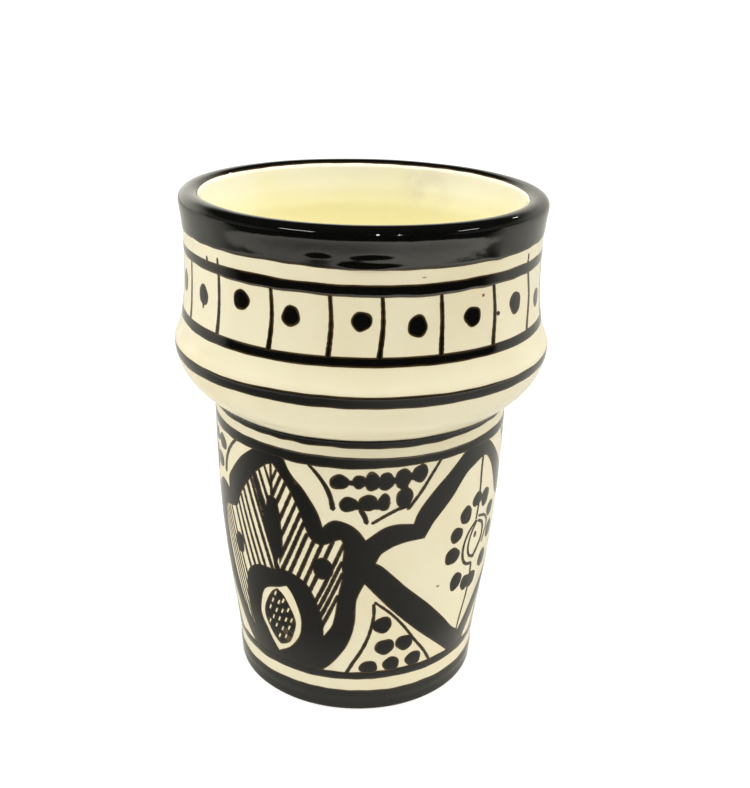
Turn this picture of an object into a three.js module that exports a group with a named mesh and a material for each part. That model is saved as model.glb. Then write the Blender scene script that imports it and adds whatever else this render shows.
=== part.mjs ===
// Earthenware mug without a handle: a thrown clay body with a raised ring under its collar, glazed pale cream
// inside and out, with black glaze lines laid round it. Millimetres, +Z up, and the origin is the middle of
// the foot, on the surface that the mug stands on.
import * as THREE from 'three';

// Heights of the outside, each measured from the one below it
const WALL_RISE = 69.3;          // foot to the neck, where the wall turns out into the ring
const RING_RISE = 13.3;          // neck to the widest part of the ring
const COLLAR_RISE = 19.8;        // widest part of the ring to the waist of the collar
const LIP_RISE = 12.8;           // waist of the collar to the top of the lip

// Glazed outside: two radii, then how far each part above stands out from the one below it
const FOOT_RADIUS = 29;
const NECK_RADIUS = 33.5;
const RING_OVERHANG = 8.5;       // ring beyond the neck
const COLLAR_SETBACK = 2.8;      // waist of the collar inside the ring
const LIP_FLARE = 0.8;           // lip beyond the waist of the collar

// Lip, wall, floor and foot, glaze included
const LIP_THICKNESS = 4.6;
const LIP_ROUNDING = 1.8;        // height of the rounded edge
const WALL = 4.6;
const FLOOR = 6;
const FLOOR_CORNER = 9;          // radius where the floor turns up into the wall
const FOOT_RING_WIDTH = 5;
const FOOT_RECESS = 2;           // depth of the hollow inside the foot ring
const FOOT_EDGE = 0.4;           // bare edge below the glaze

// Thickness of the coats
const GLAZE = 0.4;
const LINE_GLAZE = 0.2;

// Black lines: their widths, and their distances from what they follow
const LIP_BAND_OUTSIDE = 7.6;    // down the outside from the top of the lip
const LIP_BAND_INSIDE = 0.5;     // down the inside
const COLLAR_UPPER_DROP = 12.9;  // top of the lip to the underside of the line
const COLLAR_UPPER_WIDTH = 2.3;
const COLLAR_LOWER_LIFT = 5.6;   // widest part of the ring to the underside of the line
const COLLAR_LOWER_WIDTH = 2.05;
const RING_LINE_DROP = 2.2;      // widest part of the ring to the underside of the line
const RING_LINE_WIDTH = 2.4;
const NECK_UPPER_DROP = 1.1;     // neck to the underside of the line
const NECK_UPPER_WIDTH = 2.4;
const NECK_LOWER_DROP = 5.6;     // neck to the underside of the line
const NECK_LOWER_WIDTH = 2.35;
const BASE_LINE_LIFT = 8.55;     // foot to the underside of the line
const BASE_LINE_WIDTH = 2.25;
const FOOT_BAND_HEIGHT = 5.45;

// Number of flats round the mug
const FLATS = 40;

const neckHeight = WALL_RISE;
const ringHeight = neckHeight + RING_RISE;
const collarHeight = ringHeight + COLLAR_RISE;
const topHeight = collarHeight + LIP_RISE;
const lipHeight = topHeight - LIP_ROUNDING;
const ringRadius = NECK_RADIUS + RING_OVERHANG;
const collarRadius = ringRadius - COLLAR_SETBACK;
const lipRadius = collarRadius + LIP_FLARE;
const crownRadius = lipRadius - LIP_THICKNESS / 2;
const lipInnerRadius = lipRadius - LIP_THICKNESS;

const clayFinish = new THREE.MeshStandardMaterial({ color: 0xc49a78, roughness: 0.9, metalness: 0 });
const creamGlaze = new THREE.MeshStandardMaterial({ color: 0xefe6cf, roughness: 0.18, metalness: 0 });
const yellowGlaze = new THREE.MeshStandardMaterial({ color: 0xf3ebb8, roughness: 0.18, metalness: 0 });
const blackGlaze = new THREE.MeshStandardMaterial({ color: 0x14140f, roughness: 0.15, metalness: 0 });

// Curve between two points of the profile that leaves the first and reaches the second upright. The pulls
// say how far along the rise each end stays upright.
function uprightCurve([startRadius, startHeight], startPull, endPull, [endRadius, endHeight]) {
  const rise = endHeight - startHeight;
  return new THREE.CubicBezierCurve(
    new THREE.Vector2(startRadius, startHeight),
    new THREE.Vector2(startRadius, startHeight + rise * startPull),
    new THREE.Vector2(endRadius, endHeight - rise * endPull),
    new THREE.Vector2(endRadius, endHeight),
  );
}

// Quarter of the rounded lip, from one angle to another about the middle of its thickness.
function lipQuarter(startAngle, endAngle) {
  return new THREE.EllipseCurve(crownRadius, lipHeight, LIP_THICKNESS / 2, LIP_ROUNDING, startAngle, endAngle);
}

// Stations along curves that follow on smoothly: a point, and the direction away from the clay.
function traceSurface(stretches) {
  const stations = [];
  for (const [curve, steps] of stretches) {
    for (let step = stations.length ? 1 : 0; step <= steps; step += 1) {
      const tangent = curve.getTangent(step / steps);
      const away = new THREE.Vector2(tangent.y, -tangent.x);
      stations.push({ point: curve.getPoint(step / steps), away });
    }
  }
  return stations;
}

// The points of a surface, moved away from the clay by a distance.
function offsetPoints(stations, distance) {
  return stations.map(({ point, away }) => point.clone().addScaledVector(away, distance));
}

// Station where a surface passes a height, between two neighbouring stations.
function stationAtHeight(below, above, height) {
  const share = (height - below.point.y) / (above.point.y - below.point.y);
  return {
    point: below.point.clone().lerp(above.point, share),
    away: below.away.clone().lerp(above.away, share).normalize(),
  };
}

// The part of an upward surface that lies between two heights.
function surfaceBetween(stations, low, high) {
  const kept = stations[0].point.y >= low ? [stations[0]] : [];
  for (let i = 0; i < stations.length - 1; i += 1) {
    const [below, above] = [stations[i], stations[i + 1]];
    for (const height of [low, high]) {
      if (below.point.y < height && height <= above.point.y) {
        kept.push(stationAtHeight(below, above, height));
      }
    }
    if (low < above.point.y && above.point.y < high) {
      kept.push(above);
    }
  }
  return kept;
}

// Closed outline of a coat on a surface: its face first, then back along its underside.
function coatOutline(stations, face, underside) {
  const outline = [...offsetPoints(stations, face), ...offsetPoints(stations, underside).reverse()];
  return [...outline, outline[0].clone()];
}

function turnedMesh(name, outline, finish) {
  const geometry = new THREE.LatheGeometry(outline, FLATS);
  geometry.rotateX(Math.PI / 2);
  const mesh = new THREE.Mesh(geometry, finish);
  mesh.name = name;
  return mesh;
}

// Outside of the glaze, from the foot to the crown of the lip
const outside = traceSurface([
  [uprightCurve([FOOT_RADIUS, FOOT_EDGE], 0.3, 0.67, [NECK_RADIUS, neckHeight]), 6],
  [uprightCurve([NECK_RADIUS, neckHeight], 0.07, 0.65, [ringRadius, ringHeight]), 7],
  [uprightCurve([ringRadius, ringHeight], 0.13, 0.91, [collarRadius, collarHeight]), 6],
  [uprightCurve([collarRadius, collarHeight], 0.64, 0.21, [lipRadius, lipHeight]), 3],
  [lipQuarter(0, Math.PI / 2), 3],
]);

// Inside of the glaze, from the crown of the lip to the middle of the floor. The hollow behind the ring
// is a long soft step.
const collarInner = [collarRadius - WALL, collarHeight];
const neckInner = [NECK_RADIUS - WALL, neckHeight];
const cornerTop = [FOOT_RADIUS - WALL, FLOOR + FLOOR_CORNER];
const cornerCentre = FOOT_RADIUS - WALL - FLOOR_CORNER;
const floorCorner = new THREE.EllipseCurve(
  cornerCentre, FLOOR + FLOOR_CORNER, FLOOR_CORNER, FLOOR_CORNER, 0, -Math.PI / 2, true,
);
const floorLine = new THREE.LineCurve(new THREE.Vector2(cornerCentre, FLOOR), new THREE.Vector2(0, FLOOR));
const inside = traceSurface([
  [lipQuarter(Math.PI / 2, Math.PI), 3],
  [uprightCurve([lipInnerRadius, lipHeight], 0.4, 0.4, collarInner), 2],
  [uprightCurve(collarInner, 0.45, 0.3, neckInner), 5],
  [uprightCurve(neckInner, 0.4, 0.3, cornerTop), 4],
  [floorCorner, 4],
  [floorLine, 1],
]);

// Clay: the hollow of the foot, the foot ring, up under the outer glaze and down under the inner one
const footOuter = FOOT_RADIUS - GLAZE;
const footInner = footOuter - FOOT_RING_WIDTH;
const clayOutline = [
  new THREE.Vector2(0, FOOT_RECESS),
  new THREE.Vector2(footInner - FOOT_RECESS, FOOT_RECESS),
  new THREE.Vector2(footInner, 0),
  new THREE.Vector2(footOuter - FOOT_EDGE, 0),
  ...offsetPoints(outside, -GLAZE),
  ...offsetPoints(inside, -GLAZE).slice(1),
];

// Inner glaze, from the axis along the clay to the lip and back down its own face
const innerGlazeOutline = [...offsetPoints(inside, -GLAZE).reverse(), ...offsetPoints(inside, 0)];

// Black glaze over the lip, on both sides of it
const insideUpwards = [...inside].reverse();
const lipInside = surfaceBetween(insideUpwards, topHeight - LIP_BAND_INSIDE, topHeight);
const lipOutside = surfaceBetween(outside, topHeight - LIP_BAND_OUTSIDE, topHeight);
const lipStations = [...lipOutside, ...lipInside.reverse().slice(1)];

// Black lines round the outside: name, height of the underside, width
const lines = [
  ['collar_upper_line', topHeight - COLLAR_UPPER_DROP, COLLAR_UPPER_WIDTH],
  ['collar_lower_line', ringHeight + COLLAR_LOWER_LIFT, COLLAR_LOWER_WIDTH],
  ['ring_line', ringHeight - RING_LINE_DROP, RING_LINE_WIDTH],
  ['neck_upper_line', neckHeight - NECK_UPPER_DROP, NECK_UPPER_WIDTH],
  ['neck_lower_line', neckHeight - NECK_LOWER_DROP, NECK_LOWER_WIDTH],
  ['base_line', BASE_LINE_LIFT, BASE_LINE_WIDTH],
  ['foot_band', FOOT_EDGE, FOOT_BAND_HEIGHT - FOOT_EDGE],
];

const mug = new THREE.Group();
mug.add(turnedMesh('clay_body', clayOutline, clayFinish));
mug.add(turnedMesh('inner_glaze', innerGlazeOutline, yellowGlaze));
mug.add(turnedMesh('outer_glaze', coatOutline(outside, 0, -GLAZE), creamGlaze));
mug.add(turnedMesh('lip_band', coatOutline(lipStations, LINE_GLAZE, 0), blackGlaze));
for (const [name, underside, width] of lines) {
  const stations = surfaceBetween(outside, underside, underside + width);
  mug.add(turnedMesh(name, coatOutline(stations, LINE_GLAZE, 0), blackGlaze));
}

export default mug;
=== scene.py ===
"""Glazed earthenware mug without a handle: cream inside and out, with black lines, a collar of dots between
bars and a painted frieze of leaf and kite panels. Sizes are in millimetres and angles in degrees, from the
front (-Y) towards +X, and they become metres where a mesh is made."""
import math
import random
from bisect import bisect_right

import bpy
from mathutils import Matrix, Vector, kdtree, noise
from mathutils.geometry import delaunay_2d_cdt, interpolate_bezier


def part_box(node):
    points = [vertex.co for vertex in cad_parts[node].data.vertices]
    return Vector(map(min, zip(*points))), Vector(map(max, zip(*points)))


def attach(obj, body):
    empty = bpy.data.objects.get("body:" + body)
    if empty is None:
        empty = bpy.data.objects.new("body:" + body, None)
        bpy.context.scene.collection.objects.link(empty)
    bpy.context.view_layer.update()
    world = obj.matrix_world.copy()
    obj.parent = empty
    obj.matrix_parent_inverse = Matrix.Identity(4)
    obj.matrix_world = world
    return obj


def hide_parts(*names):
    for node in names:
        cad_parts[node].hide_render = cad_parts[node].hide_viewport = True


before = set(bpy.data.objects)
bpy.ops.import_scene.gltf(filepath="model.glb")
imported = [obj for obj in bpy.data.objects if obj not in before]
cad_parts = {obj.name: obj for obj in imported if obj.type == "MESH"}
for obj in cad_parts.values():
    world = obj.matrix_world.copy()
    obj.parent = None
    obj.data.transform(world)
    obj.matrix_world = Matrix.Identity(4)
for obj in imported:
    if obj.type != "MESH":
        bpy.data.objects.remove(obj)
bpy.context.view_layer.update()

MM = 0.001


def node_span(node):
    """Lowest and highest level of a CAD node."""
    low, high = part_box(node)
    return low.z / MM, high.z / MM


# Outside of the glaze: heights and radii of the foot, neck, ring, collar and lip
FOOT_EDGE, TOP_HEIGHT = node_span("outer_glaze")
NECK_HEIGHT = 69.3
RING_HEIGHT = 82.6
COLLAR_HEIGHT = 102.4
LIP_ROUNDING = 1.8
LIP_HEIGHT = TOP_HEIGHT - LIP_ROUNDING
FOOT_RADIUS = 29.0
NECK_RADIUS = 33.5
RING_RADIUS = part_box("outer_glaze")[1].x / MM
COLLAR_RADIUS = 39.2
LIP_RADIUS = 40.0

# Lip, wall, floor and foot
LIP_THICKNESS = 4.6
WALL = 4.6
FLOOR = 6.0
FLOOR_CORNER = 9.0
FOOT_RING_WIDTH = 5.0
FOOT_RECESS = 2.0
FOOT_ROUNDING = 0.25
TURNING_PITCH = 2.4              # rings that the turning tool left under the foot
TURNING_DEPTH = 0.07
TURNING_CLEAR = 2.0              # smooth stretch beside the foot ring
AXIS_GAP = 0.6                   # rows of a piece end this close to the axis

# Coats: the glaze, and the black paint on it, which thins out towards its edges
GLAZE = 0.4
PAINT_EDGE = 0.03
PAINT_FULL = 0.06
LINE_FULL = 0.08                 # lines lie over the brushwork that they cross
PAINT_SHOULDER = 0.5             # distance from an edge at which paint has its full thickness
PAINT_SUNK = 0.05                # underside, inside the glaze

# Unevenness of thrown clay and of running glaze
OVALITY = 0.08
OVAL_TURN = math.radians(35)
FOOT_OVALITY = 0.3               # the foot is narrower from side to side than from front to back
FOOT_OVAL_HEIGHT = 16.0
WAVE = 0.06
WAVES_ROUND = 2.4
WAVE_LENGTH_UP = 22.0
LIP_SWAY = 0.12
LIP_SWAYS_ROUND = 2
LIP_SWAY_START = COLLAR_HEIGHT + 3
LIP_TILT = 0.3                   # the lip stands higher at the front than at the back
THROWING_RINGS = 0.05
THROWING_PITCH = 4.3
THROWING_CLEAR = 8.0             # smooth stretch below the lip
FOOT_RIDGE = 0.12                # line that the tool left round the foot
FOOT_RIDGE_HEIGHT = 3.6
FOOT_RIDGE_WIDTH = 0.5

# Fineness of the meshes
SEGMENTS = 192
CLAY_SEGMENTS = 128
HIDDEN_STEP = 3                  # a side that never shows keeps one row out of so many
BAND_ROWS = 8
LIP_ROWS = 36
FLOOR_ROWS = 12
HOLLOW_ROWS = 60
BRUSH_STEP = 0.5
FILL_STEP = 1.3
CUT_TOLERANCE = 0.00001
SLIT_TOLERANCE = 0.001
SHARP_ANGLE = math.radians(50)

SEED = 41


# Shape of the wall

def upright_curve(start, start_pull, end_pull, end, steps):
    """Points of a curve that leaves its first point and reaches its last one upright."""
    rise = end.y - start.y
    low_handle = start + Vector((0, rise * start_pull))
    high_handle = end - Vector((0, rise * end_pull))
    return interpolate_bezier(start, low_handle, high_handle, end, steps + 1)


def arc(centre, radius, height, start, end, steps):
    """Points of a part of an ellipse, between two angles in degrees."""
    points = []
    for step in range(steps + 1):
        turn = math.radians(start + (end - start) * step / steps)
        points.append(centre + Vector((radius * math.cos(turn), height * math.sin(turn))))
    return points


def ways_along(line):
    """Direction of a line at each of its points, from the point before to the point after."""
    last = len(line) - 1
    return [(line[min(i + 1, last)] - line[max(i - 1, 0)]).normalized() for i in range(last + 1)]


def find_step(steps, value):
    """Number of the step of a rising list that a value lies in, and the share of that step below it."""
    i = min(max(bisect_right(steps, value) - 1, 0), len(steps) - 2)
    return i, (value - steps[i]) / (steps[i + 1] - steps[i])


class Surface:
    """A turned surface: the points of its profile and the direction away from the clay at each of them."""

    def __init__(self, *stretches):
        self.points = list(stretches[0])
        for stretch in stretches[1:]:
            self.points.extend(stretch[1:])
        self.lengths = [0.0]
        for before, after in zip(self.points, self.points[1:]):
            self.lengths.append(self.lengths[-1] + (after - before).length)
        self.away = [Vector((way.y, -way.x)) for way in ways_along(self.points)]
        self.heights = [point.y for point in self.points]

    def stations(self, step=1):
        """Every so many points with their directions, the last one always among them."""
        kept = list(range(0, len(self.points) - 1, step)) + [len(self.points) - 1]
        return [(self.points[i], self.away[i]) for i in kept]

    def station(self, length):
        """Point and direction at a length along the profile."""
        i, share = find_step(self.lengths, length)
        return self.points[i].lerp(self.points[i + 1], share), self.away[i].lerp(self.away[i + 1], share)

    def length_at(self, height):
        """Length along a rising profile at which it passes a height."""
        i, share = find_step(self.heights, height)
        return self.lengths[i] + share * (self.lengths[i + 1] - self.lengths[i])

    def at_height(self, height):
        return self.station(self.length_at(height))


crown = Vector((LIP_RADIUS - LIP_THICKNESS / 2, LIP_HEIGHT))
neck = Vector((NECK_RADIUS, NECK_HEIGHT))
ring = Vector((RING_RADIUS, RING_HEIGHT))
collar = Vector((COLLAR_RADIUS, COLLAR_HEIGHT))
lip = Vector((LIP_RADIUS, LIP_HEIGHT))

# Each curve says how far its two ends stay upright, as shares of its rise, and how many rows it has
outside = Surface(
    upright_curve(Vector((FOOT_RADIUS, FOOT_EDGE)), 0.3, 0.67, neck, 56),
    upright_curve(neck, 0.07, 0.65, ring, 26),
    upright_curve(ring, 0.13, 0.91, collar, 28),
    upright_curve(collar, 0.64, 0.13, lip, 14),
    arc(crown, LIP_THICKNESS / 2, LIP_ROUNDING, 0, 90, 8),
)

collar_inner = Vector((COLLAR_RADIUS - WALL, COLLAR_HEIGHT))
neck_inner = Vector((NECK_RADIUS - WALL, NECK_HEIGHT))
corner_top = Vector((FOOT_RADIUS - WALL, FLOOR + FLOOR_CORNER))
corner_centre = corner_top - Vector((FLOOR_CORNER, 0))
floor_edge = corner_centre - Vector((0, FLOOR_CORNER))
floor_middle = Vector((AXIS_GAP, FLOOR))
inside = Surface(
    arc(crown, LIP_THICKNESS / 2, LIP_ROUNDING, 90, 180, 8),
    upright_curve(lip - Vector((LIP_THICKNESS, 0)), 0.4, 0.4, collar_inner, 12),
    upright_curve(collar_inner, 0.45, 0.3, neck_inner, 30),
    upright_curve(neck_inner, 0.4, 0.3, corner_top, 44),
    arc(corner_centre, FLOOR_CORNER, FLOOR_CORNER, 0, -90, 12),
    [floor_edge.lerp(floor_middle, row / FLOOR_ROWS) for row in range(FLOOR_ROWS + 1)],
)


def fade(value, start, end):
    """From 0 at the start to 1 at the end, softly."""
    share = min(max((value - start) / (end - start), 0), 1)
    return share * share * (3 - 2 * share)


def round_spot(angle):
    """Spot in a noise that is the same after a full turn."""
    return Vector((math.cos(angle), math.sin(angle), 0))


def unevenness(angle, point):
    """How far the wall of the real mug stands out beyond a true circle."""
    spot = round_spot(angle) * WAVES_ROUND
    spot.z = point.y / WAVE_LENGTH_UP
    oval = OVALITY * math.cos(2 * (angle - OVAL_TURN))
    oval += FOOT_OVALITY * math.cos(2 * angle) * fade(point.y, FOOT_OVAL_HEIGHT, 0)
    return (oval + WAVE * noise.noise(spot)) * fade(point.x, 0, FOOT_RADIUS)


def lip_sway(angle, point):
    """How far the rim of the real mug rises above a true plane."""
    rise = LIP_TILT * math.cos(angle) + LIP_SWAY * noise.noise(round_spot(angle) * LIP_SWAYS_ROUND)
    return rise * fade(point.y, LIP_SWAY_START, TOP_HEIGHT)


def place(station, angle, lift=0.0):
    """Place in metres at an angle round the mug, lifted off a station of a profile."""
    point, away = station
    out = point.x + away.x * lift + unevenness(angle, point)
    up = point.y + away.y * lift + lip_sway(angle, point)
    return Vector((out * math.sin(angle), -out * math.cos(angle), up)) * MM


# Meshes

def add_object(name, data):
    """A new object in the scene."""
    added = bpy.data.objects.new(name, data)
    bpy.context.scene.collection.objects.link(added)
    return added


def make_piece(name, places, faces, finish, replaced=(), paint_depth=None):
    """One piece of the mug. paint_depth is each place's distance from the edge of the paint."""
    mesh = bpy.data.meshes.new(name)
    mesh.from_pydata(places, [], faces)
    mesh.materials.append(finish)
    if paint_depth:
        mesh.attributes.new("paint_depth", "FLOAT", "POINT").data.foreach_set("value", paint_depth)
    mesh.shade_smooth()
    mesh.set_sharp_from_angle(angle=SHARP_ANGLE)
    piece = add_object(name, mesh)
    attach(piece, "root")
    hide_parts(*replaced)


def turned_faces(rows, segments, closed):
    """Quads between rows of places round the mug. A closed skin joins its last row to its first."""
    faces = []
    for row in range(rows if closed else rows - 1):
        here, above = row * segments, (row + 1) % rows * segments
        for j in range(segments):
            after = (j + 1) % segments
            faces.append((here + j, here + after, above + after, above + j))
    return faces


def angles_round(segments):
    return [2 * math.pi * j / segments for j in range(segments)]


def turned_piece(name, rows, finish, replaced, segments, closed=False):
    """A piece turned from rows of stations and lifts. One that isn't closed has caps near the axis."""
    places = []
    for point, away, lift in rows:
        places.extend(place((point, away), angle, lift) for angle in angles_round(segments))
    faces = turned_faces(len(rows), segments, closed)
    if not closed:
        last = (len(rows) - 1) * segments
        faces.append(tuple(reversed(range(segments))))
        faces.append(tuple(range(last, last + segments)))
    make_piece(name, places, faces, finish, replaced)


def foot_stations():
    """Underside of the clay, from the axis out: turned hollow, bevel, foot ring and rounded bare edge."""
    foot_outer = FOOT_RADIUS - GLAZE
    foot_inner = foot_outer - FOOT_RING_WIDTH
    hollow_edge = foot_inner - FOOT_RECESS
    rows = []
    for row in range(HOLLOW_ROWS + 1):
        radius = AXIS_GAP + (hollow_edge - AXIS_GAP) * row / HOLLOW_ROWS
        groove = TURNING_DEPTH * math.sin(2 * math.pi * radius / TURNING_PITCH)
        rows.append(Vector((radius, FOOT_RECESS + groove * fade(hollow_edge - radius, 0, TURNING_CLEAR))))
    rows += [
        Vector((foot_inner - FOOT_ROUNDING, FOOT_ROUNDING)),
        Vector((foot_inner + FOOT_ROUNDING, 0)),
        Vector((foot_outer - FOOT_EDGE - FOOT_ROUNDING, 0)),
        Vector((foot_outer - FOOT_EDGE, FOOT_ROUNDING / 2)),
    ]
    return [(point, Vector((0, -1)), 0.0) for point in rows]


def lifted(stations, lift):
    return [(point, away, lift) for point, away in stations]


def throw_clay(finish):
    """Clay body: foot, wall under the outer glaze, wall and floor under the inner one."""
    rows = foot_stations()
    rows += lifted(outside.stations(HIDDEN_STEP), -GLAZE)
    rows += lifted(inside.stations(HIDDEN_STEP)[1:], -GLAZE)
    turned_piece("thrown_clay", rows, finish, ["clay_body"], CLAY_SEGMENTS)


def throwing_ring(point):
    """Ridge that the potter's fingers left on the inside of the wall."""
    wall_share = fade(point.y, FLOOR, FLOOR + 2 * FLOOR_CORNER)
    wall_share *= fade(LIP_HEIGHT - point.y, 0, THROWING_CLEAR)
    return THROWING_RINGS * wall_share * math.sin(2 * math.pi * point.y / THROWING_PITCH)


def pour_inner_glaze(finish):
    """Glaze inside, from the crown of the lip to the middle of the floor."""
    rows = lifted(reversed(inside.stations(HIDDEN_STEP)), -GLAZE)
    rows += [(point, away, throwing_ring(point)) for point, away in inside.stations()]
    turned_piece("glaze_inside", rows, finish, ["inner_glaze"], SEGMENTS)


def pour_outer_glaze(finish):
    """Glaze outside, from the crown of the lip to just above the foot."""
    rows = lifted(outside.stations(), 0.0)
    rows += lifted(reversed(outside.stations(HIDDEN_STEP)), -GLAZE)
    turned_piece("glaze_outside", rows, finish, ["outer_glaze"], SEGMENTS, closed=True)


# Lines round the mug
BROAD_WAVES, FINE_WAVES = 1.6, 9          # of an edge that strays
BROAD_SHARE, FINE_SHARE = 0.65, 0.35
BROAD_STEP, FINE_STEP = 7.3, 3.1          # between the waves of one edge and of the next


def paint_lift(depth, full):
    """Thickness of paint at a distance from its edge."""
    return PAINT_EDGE + (full - PAINT_EDGE) * fade(depth, 0, PAINT_SHOULDER)


def edge_wobble(angle, amount, number):
    """How far a line's edge strays, the same after a full turn."""
    spot = round_spot(angle)
    broad = noise.noise(spot * BROAD_WAVES + Vector((0, 0, BROAD_STEP * number)))
    fine = noise.noise(spot * FINE_WAVES + Vector((0, 0, FINE_STEP * number)))
    return amount * (BROAD_SHARE * broad + FINE_SHARE * fine)


def painted_band(name, surface, edges, rows, ridge, finish, replaced):
    """A line round the mug between two path lengths that edges(angle) gives."""
    face, face_depths, underside, under_depths = [], [], [], []
    for row in range(rows + 1):
        sunk, depths = [], []
        for angle in angles_round(SEGMENTS):
            low, high = edges(angle)
            length = low + (high - low) * row / rows
            station = surface.station(length)
            depth = min(length - low, high - length)
            depths.append(depth)
            face.append(place(station, angle, paint_lift(depth, LINE_FULL) + ridge(angle, station[0].y)))
            sunk.append(place(station, angle, -PAINT_SUNK))
        face_depths += depths
        underside = sunk + underside
        under_depths = depths + under_depths
    faces = turned_faces(2 * (rows + 1), SEGMENTS, closed=True)
    places, depths = face + underside, face_depths + under_depths
    make_piece(name, places, faces, finish, [replaced], depths)


def no_ridge(angle, height):
    return 0.0


def foot_ridge(angle, height):
    return FOOT_RIDGE * math.exp(-((height - FOOT_RIDGE_HEIGHT) / FOOT_RIDGE_WIDTH) ** 2)


LINES = [
    # node, how far its lower edge strays and which wobble it follows, then the same for its upper edge
    ("collar_upper_line", 0.67, 547, 0.49, 278),
    ("collar_lower_line", 0.31, 458, 0.17, 285),
    ("ring_line", 0.5, 577, 0.45, 306),
    ("neck_upper_line", 0.7, 251, 0.7, 425),
    ("neck_lower_line", 0.7, 28, 0.31, 530),
    ("base_line", 0.7, 345, 0.7, 28),
    ("foot_band", 0.0, 0, 0.57, 369),
]


def paint_lines(finish):
    """The black lines round the outside, at the levels of their nodes."""
    for node, low_stray, low_wobble, high_stray, high_wobble in LINES:
        low, high = node_span(node)

        def edges(angle):
            lower = max(low + edge_wobble(angle, low_stray, low_wobble), FOOT_EDGE)
            upper = high + edge_wobble(angle, high_stray, high_wobble)
            return outside.length_at(lower), outside.length_at(upper)

        ridge = foot_ridge if node == "foot_band" else no_ridge
        painted_band("painted_" + node, outside, edges, BAND_ROWS, ridge, finish, node)


LIP_BAND_INSIDE = 0.68
LIP_LOW_STRAY, LIP_LOW_WOBBLE = 0.7, 512
LIP_HIGH_STRAY, LIP_HIGH_WOBBLE = 0.35, 32
LIP_RUNS = [
    # where the black glaze gathered: angle, height, half width in degrees, half height, thickness
    (-12, 109.2, 2.5, 0.8, 0.14),
    (1, 107.2, 6.5, 1.4, 0.26),
    (2.5, 109.4, 5, 0.6, 0.08),
    (42, 107.8, 2.2, 1.6, 0.2),
]


def lip_runs(angle, height):
    """Thickness of the runs of black glaze on the outside of the lip."""
    total = 0.0
    for run_angle, run_height, half_width, half_height, thickness in LIP_RUNS:
        aside = ((math.degrees(angle) - run_angle + 180) % 360 - 180) / half_width
        above = (height - run_height) / half_height
        total += thickness * math.exp(-aside ** 2 - above ** 2)
    return total


def paint_lip(finish):
    """Black over the lip, from the outside to a little way down the inside."""
    over_lip = Surface(outside.points, inside.points)
    low = node_span("lip_band")[0]
    inner = next(i for i, point in enumerate(inside.points) if point.y < TOP_HEIGHT - LIP_BAND_INSIDE)
    inner_length = outside.lengths[-1] + inside.lengths[inner]

    def edges(angle):
        lower = low + edge_wobble(angle, LIP_LOW_STRAY, LIP_LOW_WOBBLE)
        return outside.length_at(lower), inner_length + edge_wobble(angle, LIP_HIGH_STRAY, LIP_HIGH_WOBBLE)

    painted_band("painted_lip_band", over_lip, edges, LIP_ROWS, lip_runs, finish, "lip_band")


# Brushwork
STROKE_SWELL = 0.1               # how much a stroke's width changes along it
DOT_SWELLS = [(2, 0.05), (3, 0.04), (5, 0.025)]    # waves round a dot's edge, and how high each is
DOT_STEPS = 14                   # points on the edge of the smallest dot
DOT_GIRTH = 6                    # length of a dot's edge, in half widths
STRAY = 0.8                      # how far paint strays on the back, which is no exact copy of the front
STRAY_WAVES = 3
STRAY_LENGTH_UP = 12
STRAY_STEP = Vector((9, 4, 2))   # between the waves across and the waves up
STRAY_BACK = 0.6                 # share of the way to the back at which it strays fully


def soft_line(points):
    """Points at short steps along a soft curve through the given ones."""
    ways = ways_along(points)
    line = [points[0]]
    for i in range(len(points) - 1):
        reach = (points[i + 1] - points[i]).length
        steps = max(2, round(reach / BRUSH_STEP))
        handles = points[i] + ways[i] * reach / 3, points[i + 1] - ways[i + 1] * reach / 3
        line.extend(interpolate_bezier(points[i], *handles, points[i + 1], steps)[1:])
    return line


def sides(outline):
    """Start and end of each side of a closed outline or a triangle."""
    return zip(outline, outline[1:] + outline[:1])


def covers(outline, point):
    """Whether a point lies inside a closed outline."""
    found = False
    for start, end in sides(outline):
        if (start.y > point.y) != (end.y > point.y):
            crossing = start.x + (point.y - start.y) / (end.y - start.y) * (end.x - start.x)
            found ^= point.x < crossing
    return found


def turns_right(outline):
    """Whether a closed outline runs clockwise."""
    return sum(start.cross(end) for start, end in sides(outline)) < 0


def distance_finder(points):
    """A function that gives the distance from a point to the nearest of these."""
    tree = kdtree.KDTree(len(points))
    for number, point in enumerate(points):
        tree.insert(point.to_3d(), number)
    tree.balance()
    return lambda point: tree.find(point.to_3d())[2]


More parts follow.
